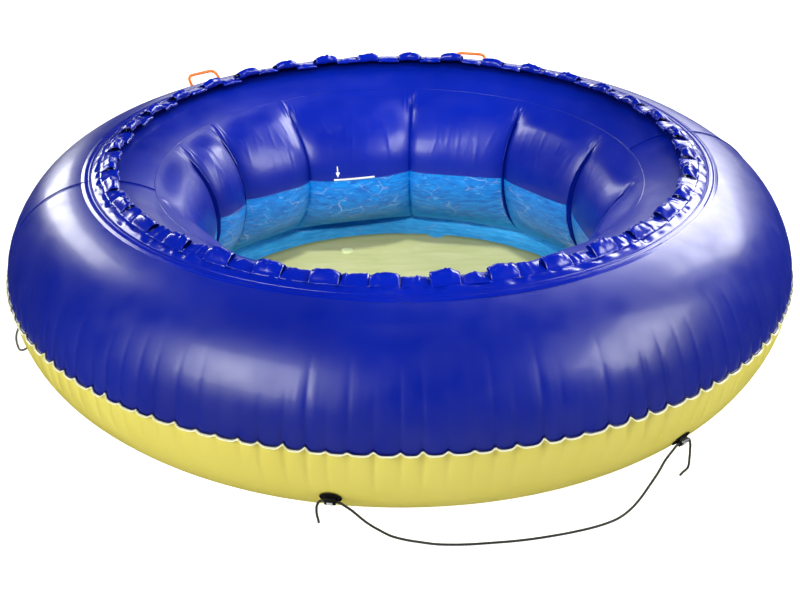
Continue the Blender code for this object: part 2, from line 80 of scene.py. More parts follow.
# Fittings, ropes and handles
FITTINGS = {
    "front_left": -8.8,
    "front_right": 40.5,
    "left": -75.0,
    "rear_left": -141.0,
    "right": 104.0,
    "rear_right": 166.0,
}
FITTING_ANGLE = 325.0
BRIDGE_LENGTH = 0.026
BORE_HEIGHT = 0.0092
ROPE_DIAMETER = 0.006
HANDLES = {"left": -142.7, "right": 166.8}
HANDLE_ANGLE = 39.0
HANDLE_WIDTH = 0.118
HANDLE_HEIGHT = 0.062
HANDLE_BAR = 0.0095
HANDLE_LIFT = 0.0105
STRAP_LENGTH = 0.07
STRAP_WALL = 0.0018


# Camera, stage and light

CAMERA_PLACE = (0, -3.594, 1.966)
CAMERA_PITCH = 62.30
CAMERA_ROLL = -0.25
FOCAL_LENGTH = 64.4
LIGHT_TARGET = (0, 0, 0.3)
STAGE_RADIUS = 14.0
STAGE_DROP = 0.0008


def linked(name, data):
    """A new object that holds the data, in the scene."""
    made = bpy.data.objects.new(name, data)
    bpy.context.scene.collection.objects.link(made)
    return made


def turn_matrix(degrees, axis):
    return Matrix.Rotation(math.radians(degrees), 4, axis)


def add_camera():
    lens = bpy.data.cameras.new("camera")
    lens.lens = FOCAL_LENGTH
    lens.sensor_width = 36
    made = linked("camera", lens)
    made.matrix_world = (Matrix.Translation(CAMERA_PLACE) @ turn_matrix(CAMERA_PITCH, "X")
                         @ turn_matrix(CAMERA_ROLL, "Z"))
    bpy.context.scene.camera = made


def softbox(name, place, size, radiance, tilt):
    """An area light of a given radiance that faces the ring, turned about its own axis by tilt degrees."""
    lamp = bpy.data.lights.new(name, "AREA")
    lamp.shape = "RECTANGLE"
    lamp.size, lamp.size_y = size
    lamp.energy = radiance * math.pi * size[0] * size[1]
    made = linked(name, lamp)
    facing = (Vector(LIGHT_TARGET) - Vector(place)).to_track_quat("-Z", "Y").to_matrix().to_4x4()
    made.matrix_world = Matrix.Translation(place) @ facing @ turn_matrix(tilt, "Z")
    made.visible_camera = False


def snoot(name, place, target, power, cone):
    """A spotlight that only adds soft diffuse light, with no highlight of its own."""
    lamp = bpy.data.lights.new(name, "SPOT")
    lamp.energy = power
    lamp.spot_size = math.radians(cone)
    lamp.spot_blend = 0.5
    lamp.shadow_soft_size = 0.3
    made = linked(name, lamp)
    made.location = place
    made.visible_glossy = False
    made.rotation_euler = (Vector(target) - made.location).to_track_quat("-Z", "Y").to_euler()


def add_lights():
    """Boxes behind and in front of the ring on both sides, a dim rear panel, and snoots on the pool."""
    softbox("left_softbox", (-2.88, 2.42, 1.89), (2.8, 0.75), 10.3, 54)
    softbox("right_softbox", (2.73, 2.72, 2.67), (3.1, 1.9), 11.0, -4)
    softbox("rear_panel", (0.87, 6.86, 1.33), (6.8, 2.2), 1.5, -5)
    softbox("front_left_softbox", (-2.9, -3.26, 2.56), (2.6, 2.2), 10.2, 2)
    softbox("front_right_softbox", (3.36, -1.46, 2.35), (2.6, 1.5), 9.3, 31)
    snoot("pool_snoot", (0.1, -0.5, 4.2), (0, 0.06, 0.1), 540, 28)
    snoot("wall_snoot", (0, -5.2, 3.8), (0, 0.5, 0.2), 1200, 13)
    world = bpy.data.worlds.new("studio")
    world.use_nodes = True
    world.node_tree.nodes["Background"].inputs["Color"].default_value = (1, 1, 1, 1)
    world.node_tree.nodes["Background"].inputs["Strength"].default_value = 0.02
    bpy.context.scene.world = world
    bpy.context.scene.view_settings.view_transform = "Standard"


def add_stage():
    """A glowing white floor, and a round wall far behind it that gives no light of its own."""
    white = bpy.data.materials.new("studio_white")
    white.use_nodes = True
    shader = white.node_tree.nodes["Principled BSDF"]
    shader.inputs["Base Color"].default_value = (0.5, 0.5, 0.5, 1)
    shader.inputs["Roughness"].default_value = 0.9
    shader.inputs["Specular IOR Level"].default_value = 0.1
    shader.inputs["Emission Color"].default_value = (1, 1, 1, 1)
    shader.inputs["Emission Strength"].default_value = 0.95
    floor, wall = bmesh.new(), bmesh.new()
    bmesh.ops.create_circle(floor, cap_ends=True, segments=96, radius=STAGE_RADIUS)
    bmesh.ops.create_cone(wall, cap_ends=False, segments=96, radius1=STAGE_RADIUS, radius2=STAGE_RADIUS,
                          depth=2 * STAGE_RADIUS)
    for name, bm in (("studio_floor", floor), ("studio_wall", wall)):
        mesh = bpy.data.meshes.new(name)
        bm.to_mesh(mesh)
        bm.free()
        mesh.materials.append(white)
        made = linked(name, mesh)
        made.location.z = -STAGE_DROP
        made.visible_glossy = False
        made.visible_diffuse = name == "studio_floor"


# Geometry helpers


def section(angle):
    """(radius, height) of the plain chamber at section angles in degrees."""
    turn = np.radians(np.asarray(angle, float))
    cosine, sine = np.cos(turn), np.sin(turn)
    upper, outer = sine >= 0, cosine >= 0
    apex = np.where(upper, TOP_RADIUS, BOTTOM_RADIUS)
    half_width = np.where(outer, OUTER_RADIUS - apex, apex - INNER_RADIUS)
    half_height = np.where(upper, TOP_HEIGHT - SEAM_HEIGHT, SEAM_HEIGHT)
    power = 2 / np.where(outer & upper, OUTER_FULLNESS, INNER_FULLNESS)
    radius = apex + np.copysign(half_width * np.abs(cosine) ** power, cosine)
    return radius, SEAM_HEIGHT + np.copysign(half_height * np.abs(sine) ** power, sine)


def section_normal(angle):
    step = 0.4
    after, before = section(np.asarray(angle) + step), section(np.asarray(angle) - step)
    dr, dh = after[0] - before[0], after[1] - before[1]
    size = np.hypot(dr, dh)
    return dh / size, -dr / size


def turned(radius, height, azimuth):
    """World points of radius and height arrays at azimuths in degrees."""
    turn = np.radians(azimuth)
    radius, height, turn = np.broadcast_arrays(radius, height, turn)
    return np.stack([radius * np.sin(turn), -radius * np.cos(turn), height], axis=-1)


def on_skin(azimuth, angle, out=0.0, lift=0.0):
    """Points on the chamber's skin, moved out of it along its normal and up."""
    radius, height = section(angle)
    normal_radius, normal_height = section_normal(angle)
    return turned(radius + out * normal_radius, height + out * normal_height + lift, azimuth)


def arc_table(low, high, count=400):
    """Section angles between low and high, and the distance walked along the skin to each."""
    angles = np.linspace(low, high, count)
    radius, height = section(angles)
    walked = np.concatenate([[0], np.cumsum(np.hypot(np.diff(radius), np.diff(height)))])
    return angles, walked


def smooth_step(value, low, high):
    t = np.clip((value - low) / (high - low), 0, 1)
    return t * t * (3 - 2 * t)


def waves(points, seed, lengths, count=4):
    """Irregular soft folds over world points, from about -1 to 1: sine waves in random directions."""
    rng = np.random.default_rng(seed)
    total, weight = 0.0, 0.0
    for length in lengths:
        for _ in range(count):
            direction = rng.normal(size=3)
            direction /= np.linalg.norm(direction)
            total = total + length * np.sin(points @ direction * math.tau / length + rng.uniform(0, math.tau))
            weight += length * 0.55
    return total / weight


def add_piece(name, mesh, surface, stands_for=(), body="tube"):
    """A visible piece that rides on a body and may stand for CAD nodes."""
    mesh.shade_smooth()
    mesh.materials.append(surface)
    made = linked(name, mesh)
    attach(made, body)
    if stands_for:
        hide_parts(*stands_for)
    return made


def add_mesh(name, points, faces, surface, stands_for=(), body="tube", sharp=None):
    mesh = bpy.data.meshes.new(name)
    mesh.from_pydata(np.asarray(points, float).reshape(-1, 3).tolist(), [], faces)
    mesh.update()
    made = add_piece(name, mesh, surface, stands_for, body)
    if sharp:
        mesh.set_sharp_from_angle(angle=math.radians(sharp))
    return made


def thicken(made, thickness, offset):
    solid = made.modifiers.new("thickness", "SOLIDIFY")
    solid.thickness = thickness
    solid.offset = offset


def grid_faces(rows, columns, wrap=False, wrap_rows=False):
    index = np.arange(rows * columns).reshape(rows, columns)
    if wrap:
        index = np.concatenate([index, index[:, :1]], axis=1)
    if wrap_rows:
        index = np.concatenate([index, index[:1]], axis=0)
    return np.stack([index[:-1, :-1], index[:-1, 1:], index[1:, 1:], index[1:, :-1]], axis=-1).reshape(-1, 4)


def skin_map(made, azimuth, along):
    """A UV map in metres: u along the ring at one metre's radius, v along the section."""
    rows, columns = along.shape
    layer = made.data.uv_layers.new(name="skin_map")
    u = np.broadcast_to(np.radians(azimuth), (rows, columns)).ravel()
    v = along.ravel()
    loops = np.empty(len(made.data.loops), np.int32)
    made.data.loops.foreach_get("vertex_index", loops)
    uv = np.stack([u[loops], v[loops]], axis=1)
    faces = uv.reshape(-1, 4, 2)
    across = faces[:, :, 0]
    wrapped = across.max(axis=1) - across.min(axis=1) > math.pi
    low = across[wrapped]
    faces[wrapped, :, 0] = np.where(low < low.max(axis=1)[:, None] - math.pi, low + math.tau, low)
    layer.data.foreach_set("uv", faces.reshape(-1).astype(np.float32))


def ring_piece(name, points, surface, stands_for):
    """A surface that closes round the ring, from rows of points."""
    faces = grid_faces(*points.shape[:2], wrap=True).tolist()
    return add_mesh(name, points, faces, surface, stands_for)


def closed_band(name, outline, surface, azimuth, node):
    """A closed thin ring: outline is (radius, height) arrays over the azimuths, going round once."""
    points = np.stack([turned(radius, height, azimuth) for radius, height in outline])
    faces = grid_faces(*points.shape[:2], wrap=True, wrap_rows=True).tolist()
    add_mesh(name, points, faces, surface, (node,), sharp=50)


# Materials


class Nodes:
    """A short way to write one material's node tree."""

    def __init__(self, name):
        self.material = bpy.data.materials.new(name)
        self.material.use_nodes = True
        self.tree = self.material.node_tree
        self.shader = self.tree.nodes["Principled BSDF"]

    def feed(self, node, values):
        """Set a node's inputs, by name or number, to plain values or to other nodes' outputs."""
        for key, value in values.items():
            if isinstance(value, (float, int, tuple)):
                node.inputs[key].default_value = value
            else:
                self.tree.links.new(value, node.inputs[key])

    def node(self, kind, output, inputs, **settings):
        """One output of a new node."""
        made = self.tree.nodes.new("ShaderNode" + kind)
        for key, value in settings.items():
            setattr(made, key, value)
        self.feed(made, inputs)
        return made.outputs[output]

    def place(self):
        """Coordinates in metres in the model's frame."""
        return self.node("TexCoord", "Object", {})

    def skin(self):
        return self.node("UVMap", "UV", {}, uv_map="skin_map")

    def scaled(self, source, scale):
        return self.node("Mapping", "Vector", {"Scale": scale, "Vector": source})

    def noise(self, source, scale, detail=3, rough=0.5, distortion=0.0, output="Fac"):
        return self.node("TexNoise", output, {"Vector": source, "Scale": scale, "Detail": detail,
                                              "Roughness": rough, "Distortion": distortion})

    def ranged(self, source, low, high, to_low, to_high):
        return self.node("MapRange", "Result", {"Value": source, "From Min": low, "From Max": high,
                                                "To Min": to_low, "To Max": to_high})

    def mixed(self, factor, first, second):
        return self.node("Mix", 2, {0: factor, 6: first, 7: second}, data_type="RGBA")

    def maths(self, operation, first, second):
        return self.node("Math", 0, {0: first, 1: second}, operation=operation)

    def bump(self, height, strength, distance):
        inputs = {"Strength": strength, "Distance": distance, "Height": height}
        self.feed(self.shader, {"Normal": self.node("Bump", "Normal", inputs)})

    def orange_peel(self, source, strength, distance):
        """The fine grain and middling unevenness of soft PVC."""
        fine = self.noise(source, 420, 2)
        middling = self.maths("MULTIPLY", self.noise(source, 60, 3), 1.5)
        self.bump(self.maths("ADD", fine, middling), strength, distance)

    def set(self, **values):
        self.feed(self.shader, {key.replace("_", " "): value for key, value in values.items()})
        return self.material


def pvc(name, deep, light, roughness):
    """Glossy soft PVC: slight shade changes, fine orange-peel grain and soft unevenness in its gloss."""
    n = Nodes(name)
    place = n.place()
    shade = n.ranged(n.noise(place, 2.2, 2), 0.35, 0.65, 0, 1)
    colour = n.mixed(shade, deep, light)
    gloss = n.ranged(n.noise(place, 14, 3), 0.3, 0.7, roughness * 0.85, roughness * 1.2)
    n.orange_peel(place, 0.25, 0.00025)
    return n.set(Base_Color=colour, Roughness=gloss, IOR=1.5, Coat_Weight=0.15, Coat_Roughness=0.12)


def water_print():
    """The printed water: rippled blue with pale caustic lines, greener and duller towards the floor."""
    n = Nodes("printed_water")
    skin = n.skin()
    stretched = n.scaled(skin, (8.0, 55.0, 1.0))
    ripple = n.noise(stretched, 1.6, 5, 0.6, 0.8)
    down = n.node("SeparateXYZ", "Y", {"Vector": skin})
    crest = n.ranged(ripple, 0.35, 0.68, 0, 1)
    blue = n.mixed(crest, (0.001, 0.107, 0.47, 1), (0.003, 0.235, 0.70, 1))
    deep = n.mixed(crest, (0.03, 0.31, 0.62, 1), (0.08, 0.52, 0.84, 1))
    base = n.mixed(n.ranged(down, 0.16, 0.32, 0, 1), blue, deep)
    wander = n.scaled(n.noise(skin, 9, 3, output="Color"), (1.1, 1.1, 0))
    warp = n.node("VectorMath", "Vector", {0: n.scaled(skin, (9.0, 34.0, 1.0)), 1: wander}, operation="ADD")
    edge = n.node("TexVoronoi", "Distance", {"Vector": warp, "Scale": 1.0}, feature="DISTANCE_TO_EDGE")
    line = n.ranged(edge, 0.0, 0.035, 1, 0)
    patchy = n.ranged(n.noise(n.scaled(skin, (5, 11, 1)), 1.4, 2), 0.47, 0.66, 0, 1)
    pale = n.maths("MULTIPLY", line, patchy)
    streak = n.noise(n.scaled(skin, (16.0, 95.0, 1.0)), 1.0, 4, 0.55, 0.5)
    glint = n.ranged(streak, 0.60, 0.74, 0, 0.75)
    lit = n.mixed(glint, base, (0.12, 0.42, 0.80, 1))
    lit = n.mixed(n.maths("MULTIPLY", pale, 0.5), lit, (0.50, 0.52, 0.62, 1))
    n.orange_peel(n.place(), 0.2, 0.0002)
    return n.set(Base_Color=lit, Roughness=0.34, IOR=1.45)


def sand_print():
    """The floor's plain middle: pale yellow-green with faint level streaks, darker at its rim."""
    n = Nodes("floor_sand")
    place = n.place()
    streak = n.noise(n.scaled(place, (6.0, 26.0, 1.0)), 1.0, 5, 0.6, 0.6)
    base = n.mixed(n.ranged(streak, 0.35, 0.68, 0, 1), (0.43, 0.455, 0.18, 1), (0.52, 0.525, 0.255, 1))
    warm = n.ranged(n.noise(n.scaled(place, (2.5, 9.0, 1.0)), 1.0, 3), 0.60, 0.75, 0, 0.55)
    base = n.mixed(warm, base, (0.53, 0.50, 0.29, 1))
    reach = n.node("VectorMath", "Value", {0: place, 1: (*DISC_CENTRE, 0)}, operation="DISTANCE")
    rim = n.ranged(reach, DISC_RADIUS - 0.03, DISC_RADIUS - 0.004, 0, 0.8)
    base = n.mixed(rim, base, (0.20, 0.25, 0.05, 1))
    n.bump(n.noise(place, 300, 2), 0.2, 0.0002)
    return n.set(Base_Color=base, Roughness=0.42, IOR=1.45)


def moulded(name, colour, roughness):
    n = Nodes(name)
    place = n.place()
    shade = n.ranged(n.noise(place, 30, 3), 0.3, 0.7, 0, 1)
    darker = tuple(part * 0.82 for part in colour[:3]) + (1,)
    n.bump(n.noise(place, 260, 3), 0.15, 0.0003)
    gloss = n.ranged(n.noise(place, 90, 3), 0.3, 0.7, roughness * 0.8, roughness * 1.25)
    return n.set(Base_Color=n.mixed(shade, darker, colour), Roughness=gloss)


def cord_black():
    n = Nodes("cord_black")
    place = n.place()
    fibre = n.noise(place, 900, 3)
    colour = n.mixed(n.ranged(fibre, 0.3, 0.7, 0, 1), (0.004, 0.004, 0.005, 1), (0.02, 0.02, 0.022, 1))
    n.bump(fibre, 0.5, 0.0004)
    return n.set(Base_Color=colour, Roughness=0.62, Sheen_Weight=0.2)


# Skins


class Puckers:
    """The gathers along the outer seam: the skins are pinched in at each cusp and pillow out between them."""

    def __init__(self):
        rng = np.random.default_rng(PUCKER_SEED)
        width = 1 + 0.38 * (rng.random(PUCKERS) - 0.5)
        self.edges = np.concatenate([[0], np.cumsum(width)]) / width.sum() * 360
        self.strength = rng.uniform(0.45, 1.25, PUCKERS)
        self.reach_up = rng.uniform(0.055, 0.12, PUCKERS)
        self.reach_down = rng.uniform(0.05, 0.095, PUCKERS)
        self.skew = rng.uniform(-0.12, 0.12, PUCKERS)

    def at(self, azimuth):
        """(how near to a cusp from 0 to 1, that cusp's number)."""
        turn = np.mod(azimuth, 360)
        cell = np.clip(np.searchsorted(self.edges, turn, side="right") - 1, 0, PUCKERS - 1)
        t = (turn - self.edges[cell]) / (self.edges[cell + 1] - self.edges[cell])
        near = np.abs(2 * t - 1)
        return near, (cell + (t > 0.5)) % PUCKERS

    def seam(self, azimuth):
        """(radius, height) of the seam line, which rises in a soft peak at each cusp."""
        near, cusp = self.at(azimuth)
        strength = self.strength[cusp]
        peak = strength * np.exp(-(((1 - near) / 0.30) ** 1.5))
        return OUTER_RADIUS - 0.0005 - 0.0050 * peak, SEAM_HEIGHT - 0.003 + 0.0105 * peak

    def shift(self, azimuth, walked, upper):
        """(out, lift) of the skin at a distance walked from the seam."""
        near, cusp = self.at(azimuth)
        strength = self.strength[cusp]
        reach = (self.reach_up if upper else self.reach_down)[cusp]
        fade = np.exp(-((walked / reach) ** 1.7))
        apart = (1 - near) * (1 + 0.25 * self.skew[cusp])
        pinch = 0.60 * np.exp(-((apart / 0.16) ** 1.6)) + 0.40 * np.exp(-((apart / 0.50) ** 2))
        out = (0.0010 - (0.0068 if upper else 0.0085) * pinch) * strength * fade
        seam_height = self.seam(azimuth)[1]
        near_seam = np.exp(-((walked / 0.030) ** 1.5))
        return out, (seam_height - SEAM_HEIGHT) * near_seam


def outer_skin_points(puckers, azimuth, walked, table, upper):
    angles, lengths = table
    angle = np.interp(walked, lengths, angles)[:, None]
    out, lift = puckers.shift(azimuth[None, :], walked[:, None], upper)
    plain = on_skin(azimuth[None, :], angle)
    swell = 0.0016 * waves(plain, 5 if upper else 6, (0.9, 0.45, 0.22), 3)
    swell = swell * smooth_step(walked, 0.02, 0.10)[:, None]
    return on_skin(azimuth[None, :], angle, out + swell, lift)


def upper_skin(puckers, blue):
    azimuth = np.linspace(0, 360, PUCKERS * 11, endpoint=False)
    table = arc_table(0.3, UPPER_SEAM_ANGLE)
    total = table[1][-1]
    walked = np.concatenate([np.linspace(0, 0.15, 30), np.linspace(0.15, total, 38)[1:]])
    points = outer_skin_points(puckers, azimuth, walked, table, True)
    ring_piece("upper_skin", points, blue, ("upper_skin_front", "upper_skin_rear"))


def lower_skin(puckers, yellow):
    azimuth = np.linspace(0, 360, PUCKERS * 11, endpoint=False)
    table = arc_table(359.7, LOWER_SEAM_ANGLE)
    walked = np.concatenate([np.linspace(0, 0.12, 25), np.linspace(0.12, table[1][-1], 26)[1:]])
    points = outer_skin_points(puckers, azimuth, walked, table, False)
    points[..., 2] = np.maximum(points[..., 2], 0.0006)
    ring_piece("lower_skin", points[::-1], yellow, ("lower_skin_front", "lower_skin_rear"))


def seam_flange(puckers, painted_shade_navy, cream):
    """The welded flange: the upper sheet's lip over the lower sheet's, whose pale edge shows beyond it. The
    upper lip's dark navy is painted shade: the blue sheet darkened where the pillowed skin shades it.
    """
    azimuth = np.linspace(0, 360, PUCKERS * 12, endpoint=False)
    radius, height = puckers.seam(azimuth)
    inner = radius - 0.009
    upper = [(inner, height + 0.0024), (radius + 0.0030, height + 0.0010), (radius + 0.0050, height + 0.0002),
             (radius + 0.0056, height - 0.0008), (radius + 0.0050, height - 0.0014), (inner, height + 0.0002)]
    lower = [(inner, height - 0.0002), (radius + 0.0050, height - 0.0018), (radius + 0.0086, height - 0.0022),
             (radius + 0.0094, height - 0.0034), (radius + 0.0086, height - 0.0046), (inner, height - 0.0022)]
    # The upper lip takes the painted shade, a dark navy copy of the blue vinyl
    closed_band("flange_upper_edge", upper[::-1], painted_shade_navy, azimuth, "flange_upper_lip")
    closed_band("flange_lower_edge", lower[::-1], cream, azimuth, "flange_lower_lip")


class Panels:
    """The pool's wall: pillows between the creases that the webs hold in, with fine upright wrinkles."""

    DEPTH = 0.040

    def __init__(self):
        self.edges = np.array(sorted(np.mod(CREASES, 360)), float)
        self.spans = np.diff(np.concatenate([self.edges, [self.edges[0] + 360]]))
        rng = np.random.default_rng(23)
        self.folds = []
        for edge, span in zip(self.edges, self.spans):
            for _ in range(rng.integers(12, 18)):
                middle = edge + span * rng.uniform(0.12, 0.88)
                ranges = ((143, 166), (5, 11), (0.0022, 0.0045), (0.0003, 0.0010), (-0.12, 0.12))
                self.folds.append((middle, *(rng.uniform(low, high) for low, high in ranges)))
            for side in (-1, 1):
                for offset, height in ((0.008, 0.0034), (0.017, 0.0014)):
                    middle = edge + side * math.degrees(offset * rng.uniform(0.85, 1.15) / INNER_RADIUS)
                    self.folds.append((middle, rng.uniform(130, 135), rng.uniform(4, 7), 0.0032, height, 0.0))

    def place(self, azimuth):
        """-1 and 1 at a panel's two creases."""
        turn = np.mod(azimuth - self.edges[0], 360) + self.edges[0]
        panel = np.clip(np.searchsorted(self.edges, turn, side="right") - 1, 0, len(self.edges) - 1)
        return 2 * (turn - self.edges[panel]) / self.spans[panel] - 1

    def columns(self, each):
        """Azimuths that crowd towards the creases."""
        turn = np.linspace(-math.pi / 2, math.pi / 2, each, endpoint=False) * 0.97
        share = (np.sin(turn) / math.sin(math.pi * 0.485) + 1) / 2
        return np.concatenate([edge + span * share for edge, span in zip(self.edges, self.spans)])

    def sway(self, azimuth):
        """The whole wall's lean into the pool: in at the rear, out at the sides."""
        off = np.mod(azimuth + 166 + 180, 360) - 180
        return 0.064 * np.exp(-((off / 34) ** 2)) - 0.010

    def out(self, azimuth, angle):
        """How far the wall stands out of the plain chamber, towards the pool."""
        u = np.abs(self.place(azimuth))
        pillow = (1 - np.minimum(u, 1) ** 2.3) ** 0.62
        reach = smooth_step(angle, 125, 142) * (1 - 0.86 * smooth_step(angle, 196, 240))
        lean = smooth_step(angle, 126, 172) * (1 - smooth_step(angle, 190, 244))
        out = reach * (self.DEPTH * pillow - 0.022) + lean * self.sway(azimuth)
        for middle, centre, spread, width, height, slope in self.folds:
            off = np.mod(azimuth - middle - slope * (angle - centre) + 180, 360) - 180
            close = np.abs(off) < 4
            if np.any(close):
                beside = np.radians(off) * INNER_RADIUS / width
                out = out + height * np.exp(-(beside ** 2) - ((angle - centre) / spread) ** 2)
        return out


def wall_rows(low, high, count):
    """Rows an even distance apart down the wall: the distance walked, and the section angle as a column."""
    angles, lengths = arc_table(low, high)
    walked = np.linspace(0, lengths[-1], count)
    return walked, np.interp(walked, lengths, angles)[:, None]


def inner_wall(panels, blue):
    azimuth = panels.columns(88)
    angle = wall_rows(UPPER_SEAM_ANGLE, 180, 52)[1]
    out = panels.out(azimuth[None, :], angle)
    nodes = ("inner_wall_skin_front", "inner_wall_skin_rear")
    ring_piece("inner_wall", on_skin(azimuth[None, :], angle, out), blue, nodes)


def printed_wall(panels, printed):
    """The print from the inner seam down the wall and in over the floor's rim."""
    azimuth = panels.columns(80)
    walked, angle = wall_rows(180, 246, 40)
    u = np.abs(panels.place(azimuth))[None, :]
    groove = -0.004 * np.exp(-((1 - u) / 0.022) ** 2) * smooth_step(angle, 185, 215)
    wall = on_skin(azimuth[None, :], angle, panels.out(azimuth[None, :], angle) + groove)
    start_radius, start_height = section(246)
    t = np.linspace(0, 1, 22)[1:, None]
    radius = start_radius - (start_radius - RIM_REACH) * t
    curve = np.exp(-((start_radius - radius) / 0.022))
    height = FLOOR_TOP + (start_height - FLOOR_TOP) * curve + 0 * azimuth[None, :]
    rim = turned(radius, height, azimuth[None, :])
    rim[..., 2] += 0.0014 * waves(rim, 31, (0.25, 0.12), 3) * smooth_step(t, 0.1, 0.4)
    rim[..., 2] = np.maximum(rim[..., 2], 0.001)
    points = np.concatenate([wall, rim])
    along = np.concatenate([walked, walked[-1] + (start_radius - RIM_REACH) * t[:, 0]])[:, None] + 0 * azimuth
    nodes = ("printed_wall_skin_front", "printed_wall_skin_rear", "floor_rim")
    made = ring_piece("printed_wall", points, printed, nodes)
    skin_map(made, azimuth[None, :], along)


def floor_disc(sand):
    azimuth = np.linspace(0, 360, 180, endpoint=False)
    radius = np.concatenate([np.linspace(0.012, DISC_RADIUS - 0.01, 60), [DISC_RADIUS - 0.004, DISC_RADIUS]])
    points = turned(radius[:, None], FLOOR_TOP + 0.0014, azimuth[None, :])
    points[..., 0] += DISC_CENTRE[0]
    points[..., 1] += DISC_CENTRE[1]
    points[..., 2] += 0.0011 * waves(points, 41, (0.30, 0.16, 0.09), 3)
    points[-1, :, 2] -= 0.0012
    faces = grid_faces(*points.shape[:2], wrap=True)[:, ::-1].tolist()
    faces.append(list(range(len(azimuth))))
    add_mesh("floor_disc_sheet", points, faces, sand, ("floor_disc",))


def seam_lines(panels, blue):
    """The thin welds round the top of the pool's wall and round its middle."""
    azimuth = panels.columns(60)
    for name, angle, node in (("upper_seam_line", UPPER_SEAM_ANGLE, "upper_seam_tape"),
                              ("inner_seam_line", 180.0, "inner_seam_band")):
        out = panels.out(azimuth, angle)
        half = 0.0016
        outline = []
        radius, height = section(angle)
        normal = section_normal(angle)
        along = (-normal[1], normal[0])
        for x, y in ((-1, -0.6), (-0.7, 0.5), (0, 0.9), (0.7, 0.5), (1, -0.6)):
            outline.append((radius + (out + y * 0.0011) * normal[0] + x * half * along[0],
                            height + (out + y * 0.0011) * normal[1] + x * half * along[1]))
        closed_band(name, outline, blue, azimuth, node)


def joint_strips(puckers, blue, yellow):
    """The lap welds where the front and rear sheets meet."""
    for side, azimuth in zip(("left", "right"), JOINTS):
        for name, low, high, surface, slot in (
            ("top", 4, UPPER_SEAM_ANGLE - 0.4, blue, "blue_pvc"),
            ("base", 296, 356, yellow, "yellow_pvc"),
        ):
            angle = np.linspace(low, high, 90)
            sides = []
            for offset in (-0.0016, -0.0009, 0.0009, 0.0016):
                turn = azimuth + np.degrees(offset / section(angle)[0])
                upper = name == "top"
                table = arc_table(0.3, UPPER_SEAM_ANGLE) if upper else arc_table(359.7, LOWER_SEAM_ANGLE)
                order = np.argsort(table[0])
                walked = np.interp(angle, table[0][order], table[1][order])
                out, lift = puckers.shift(turn, walked, upper)
                proud = 0.0024 if abs(offset) < 0.0012 else -0.0006
                sides.append(on_skin(turn, angle, out + proud, lift))
            points = np.stack(sides)
            faces = grid_faces(*points.shape[:2])[:, ::-1].tolist()
            add_mesh(f"joint_{side}_{name}", points, faces, surface, sharp=30)


# The sleeve flap


def sleeve_height(azimuth):
    """Height of the line where the sleeves start: the flap lies lower at the front than at the rear."""
    return SLEEVE_HEIGHT - 0.0025 - 0.0060 * np.cos(np.radians(azimuth))


def flap_sheet_points(azimuth, share):
    """The sheet from its weld, share 0, to just under the sleeves, share 1: it swells up beside the weld."""
    radius = FLAP_WELD_RADIUS - (FLAP_WELD_RADIUS - SLEEVE_RADIUS + 0.012) * share
    start = float(section(86)[1]) + 0.0012
    rise = 1 - (1 - np.minimum(share / 0.8, 1)) ** 2.4
    points = turned(radius, start + (sleeve_height(azimuth) - start) * rise, azimuth)
    crisp = 1 - 2 * np.abs(waves(points, 52, (0.075, 0.045), 4))
    folds = 0.0024 * waves(points, 51, (0.11, 0.06, 0.03), 4) + 0.0022 * crisp
    points[..., 2] += folds * smooth_step(share, 0.05, 0.4)
    points[..., 2] = np.maximum(points[..., 2], start)
    return points


def sleeve_path(reach, fold):
    """A sleeve's section, (inward, up): under, round the fold at the inner edge, back over the top."""
    turns = np.radians(np.linspace(-90, 90, 9))
    bottom = [(-0.001, 0.0), (0.35 * reach, -0.0006), (0.68 * reach, -0.0012)]
    curl = [(reach - fold + fold * math.cos(t), fold - 0.0012 + fold * math.sin(t)) for t in turns]
    height = 2 * fold - 0.0012
    top = [(0.68 * reach, height * 1.02), (0.48 * reach, height * 0.86), (0.30 * reach, height * 0.62),
           (0.14 * reach, height * 0.36), (0.02 * reach, 0.0022), (-0.004, 0.0010)]
    return bottom + curl + top


def sleeve_flap(blue):
    """The loose sheet, and on its inner edge long low and short tall sleeves in turn, open at their ends."""
    columns, rows = 1080, 16
    azimuth = np.linspace(0, 360, columns, endpoint=False)
    share = np.linspace(0, 1, rows)[:, None]
    points = [flap_sheet_points(azimuth[None, :], share + 0 * azimuth[None, :]).reshape(-1, 3)]
    faces = [grid_faces(rows, columns, wrap=True)]
    start = rows * columns
    across = np.linspace(-0.5, 0.5, 18)
    rng = np.random.default_rng(71)
    for number in range(2 * TABS):
        long = number % 2 == 0
        width = 360 / TABS * (0.485 if long else 0.505)
        turn = (number + 0.5) * 180 / TABS + across * width
        inward = turned(-1.0, 0.0, turn)
        base = turned(SLEEVE_RADIUS, sleeve_height(turn), turn)
        tip, tilt = rng.uniform(-0.10, 0.12), rng.uniform(-0.004, 0.004)
        ridges = [(rng.uniform(-0.5, 0.5), rng.uniform(0.02, 0.06), rng.uniform(-0.0022, 0.0036))
                  for _ in range(5)]
        crumple = sum(height * np.exp(-(((across - middle) / wide) ** 2)) for middle, wide, height in ridges)
        pucker = 1 - 0.35 * np.abs(2 * across) ** 3
        rolls = []
        for inward_step, up in sleeve_path(*(LOW_SLEEVE if long else TALL_SLEEVE)):
            body = smooth_step(inward_step, 0.0, 0.02)
            share_of_crumple = 1 if up > 0.003 else 0.4
            rise = up * pucker + inward_step * tip + body * (across * tilt + crumple * share_of_crumple)
            step = inward_step + 0.0015 * body * np.sin(across * 9 + number)
            rolls.append(base + inward * step[:, None] + np.stack([0 * rise, 0 * rise, rise], axis=1))
        block = np.stack(rolls)
        block[..., 2] += 0.0010 * waves(block, 73, (0.03, 0.015), 4)
        points.append(block.reshape(-1, 3))
        faces.append(grid_faces(*block.shape[:2]) + start)
        start += block.shape[0] * block.shape[1]
    faces = np.concatenate(faces).tolist()
    made = add_mesh("sleeve_flap_sheet", np.concatenate(points), faces, blue, ("sleeve_flap",))
    thicken(made, 0.0008, 0)


